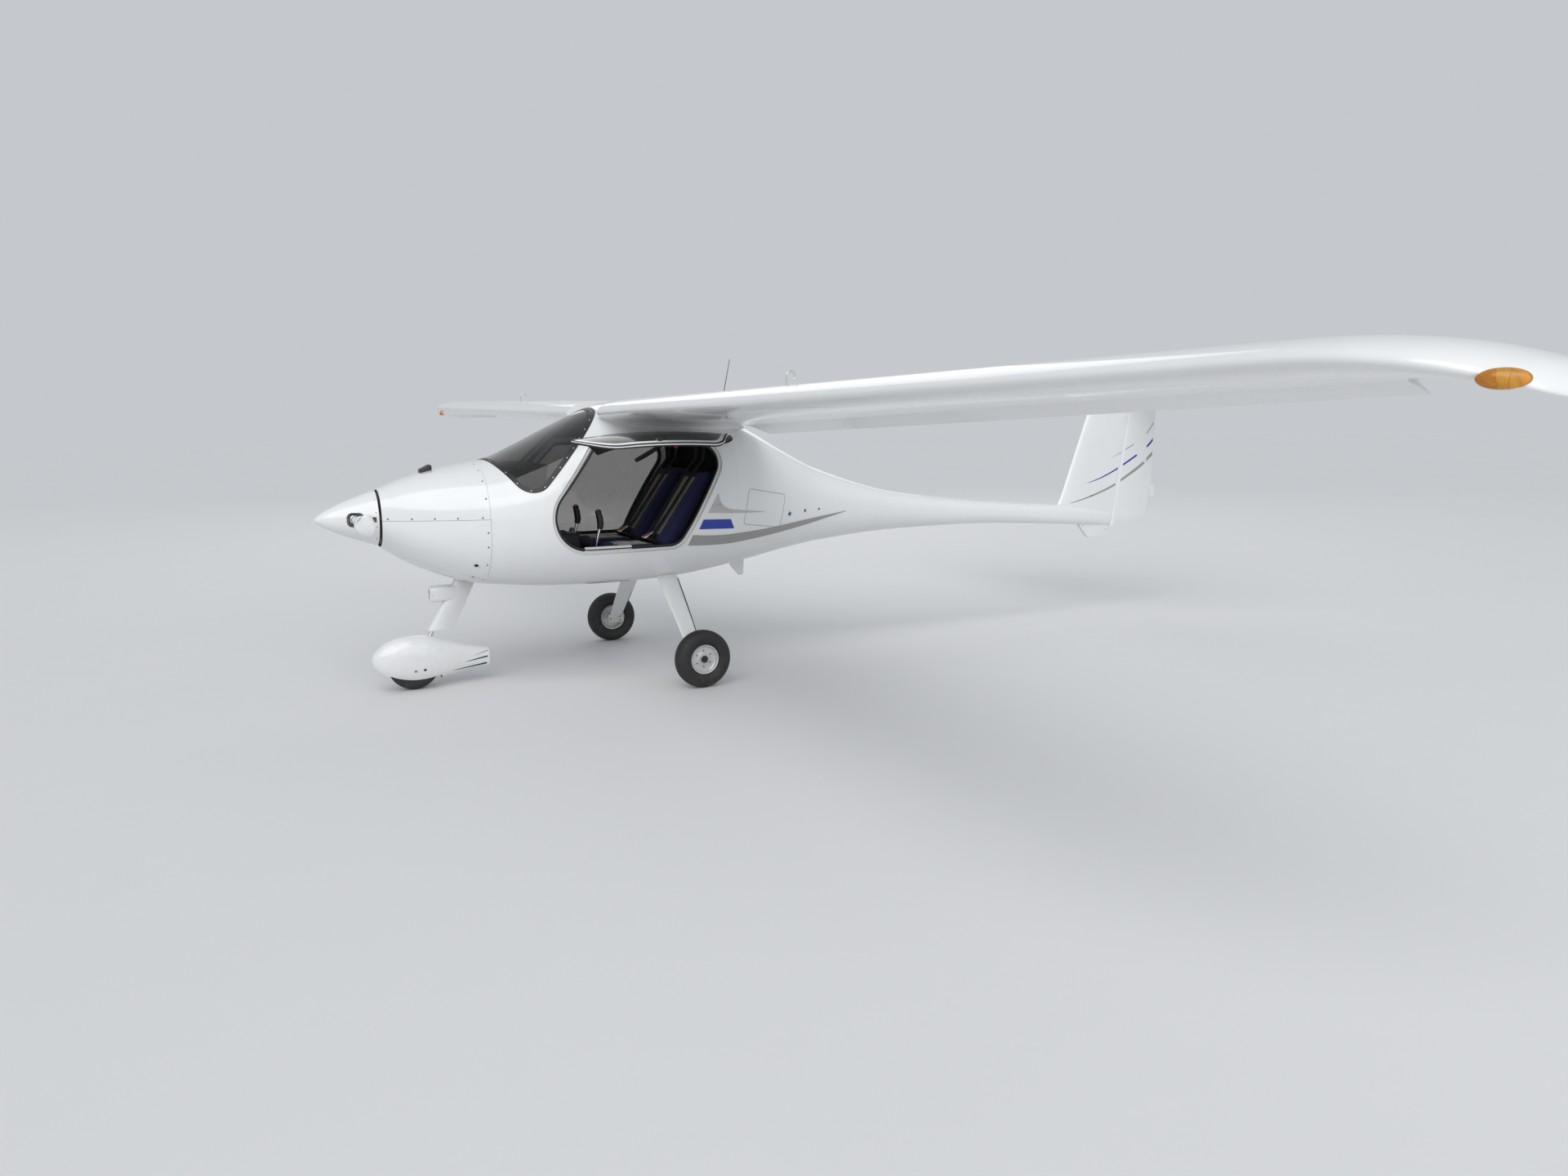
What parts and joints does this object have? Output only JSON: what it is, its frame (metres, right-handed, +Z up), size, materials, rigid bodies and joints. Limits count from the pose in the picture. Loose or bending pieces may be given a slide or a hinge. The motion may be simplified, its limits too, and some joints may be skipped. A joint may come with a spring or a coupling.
{
  "type": "microlight aircraft",
  "caption": "Two-seat high-wing composite microlight aircraft with a T-tail, tricycle gear with a faired nose wheel, upward-opening doors and a two-blade propeller.",
  "frame": {"origin": "on the ground, midway between the spinner's tip and the elevator's trailing edge, in the plane of symmetry", "axes": "-X to the nose, +Y to the right wing tip as the pilot sits, +Z up"},
  "size_m": [6.5, 10.71, 1.9236],
  "materials": {
    "white_gelcoat": "glossy white gelcoat on a composite skin",
    "smoked_acrylic": "smoked acrylic",
    "firewall_steel": "thin bright steel sheet",
    "cabin_lining": "dark carpet and lining",
    "engine_grey": "plain grey block",
    "black_plastic": "matt black",
    "seat_fabric": "navy blue seat cover",
    "alloy": "satin alloy",
    "tyre_rubber": "black tyre rubber",
    "amber_lens": "coloured clear lens"
  },
  "bodies": {
    "airframe": {"fuselage_cabin": "white_gelcoat", "fuselage_tail": "white_gelcoat", "cowl_upper": "white_gelcoat", "cowl_lower": "white_gelcoat", "fin": "white_gelcoat", "tailplane": "white_gelcoat", "wing_left": "white_gelcoat", "wing_right": "white_gelcoat", "windscreen": "smoked_acrylic", "skylight": "smoked_acrylic", "firewall": "firewall_steel", "rear_bulkhead": "cabin_lining", "cabin_floor": "cabin_lining", "engine_block": "engine_grey", "seat_base_left": "black_plastic", "seat_base_right": "black_plastic", "seat_cushion_left": "seat_fabric", "seat_cushion_right": "seat_fabric", "instrument_panel": "black_plastic", "centre_console": "black_plastic", "control_stick_left": "alloy", "control_stick_right": "alloy", "main_leg_left": "white_gelcoat", "main_leg_right": "white_gelcoat", "nose_leg_fairing": "white_gelcoat", "nav_light_left": "amber_lens", "nav_light_right": "amber_lens", "belly_aerial": "white_gelcoat", "tail_bumper": "white_gelcoat", "whip_aerial": "black_plastic", "cowl_scoop": "black_plastic", "fuel_vent_left": "alloy", "fuel_vent_right": "alloy", "flap_lever": "alloy", "spar_beam": "black_plastic"},
    "propeller_unit": {"spinner": "white_gelcoat", "propeller": "white_gelcoat"},
    "door_left": {"door_frame_left": "white_gelcoat", "door_window_left": "smoked_acrylic"},
    "door_right": {"door_frame_right": "white_gelcoat", "door_window_right": "smoked_acrylic"},
    "flaperon_left": {"flaperon_left": "white_gelcoat"},
    "flaperon_right": {"flaperon_right": "white_gelcoat"},
    "elevator": {"elevator": "white_gelcoat"},
    "rudder": {"rudder": "white_gelcoat"},
    "nose_fork": {"nose_strut": "alloy", "nose_wheel_fairing": "white_gelcoat"},
    "nose_wheel": {"nose_tyre": "tyre_rubber", "nose_rim": "alloy"},
    "main_wheel_left": {"main_left_tyre": "tyre_rubber", "main_left_rim": "alloy"},
    "main_wheel_right": {"main_right_tyre": "tyre_rubber", "main_right_rim": "alloy"}
  },
  "joints": [
    {"name": "propeller_spin", "type": "hinge", "parent": "airframe", "child": "propeller_unit", "pos_m": [-3.045, 0, 1.012], "axis": [1, 0, 0], "continuous": true},
    {"name": "door_left_swing", "type": "hinge", "parent": "airframe", "child": "door_left", "pos_m": [-1.36, -0.478, 1.432], "axis": [1, 0, 0], "range_deg": [0, 87]},
    {"name": "door_right_swing", "type": "hinge", "parent": "airframe", "child": "door_right", "pos_m": [-1.36, 0.478, 1.432], "axis": [1, 0, 0], "range_deg": [0, 87]},
    {"name": "flaperon_left_swing", "type": "hinge", "parent": "airframe", "child": "flaperon_left", "pos_m": [-0.86149, -0.545, 1.53356], "axis": [0.0318, 0.9991, -0.0288], "range_deg": [-12, 20]},
    {"name": "flaperon_right_swing", "type": "hinge", "parent": "airframe", "child": "flaperon_right", "pos_m": [-0.86149, 0.545, 1.53356], "axis": [-0.0318, 0.9991, 0.0288], "range_deg": [-12, 20]},
    {"name": "elevator_swing", "type": "hinge", "parent": "airframe", "child": "elevator", "pos_m": [3.02, 0, 1.8], "axis": [0, 1, 0], "range_deg": [-24, 20]},
    {"name": "rudder_swing", "type": "hinge", "parent": "airframe", "child": "rudder", "pos_m": [2.652, 0, 0.69], "axis": [0.1707, 0, 0.9853], "range_deg": [-28, 28]},
    {"name": "nose_steer", "type": "hinge", "parent": "airframe", "child": "nose_fork", "pos_m": [-2.649, 0, 0.34], "axis": [0.4848, 0, 0.8746], "range_deg": [-20, 20]},
    {"name": "nose_wheel_spin", "type": "hinge", "parent": "nose_fork", "child": "nose_wheel", "pos_m": [-2.768, 0, 0.146], "axis": [0, 1, 0], "continuous": true},
    {"name": "main_wheel_left_spin", "type": "hinge", "parent": "airframe", "child": "main_wheel_left", "pos_m": [-1.282, -0.8, 0.168], "axis": [0, 1, 0], "continuous": true},
    {"name": "main_wheel_right_spin", "type": "hinge", "parent": "airframe", "child": "main_wheel_right", "pos_m": [-1.282, 0.8, 0.168], "axis": [0, 1, 0], "continuous": true}
  ]
}
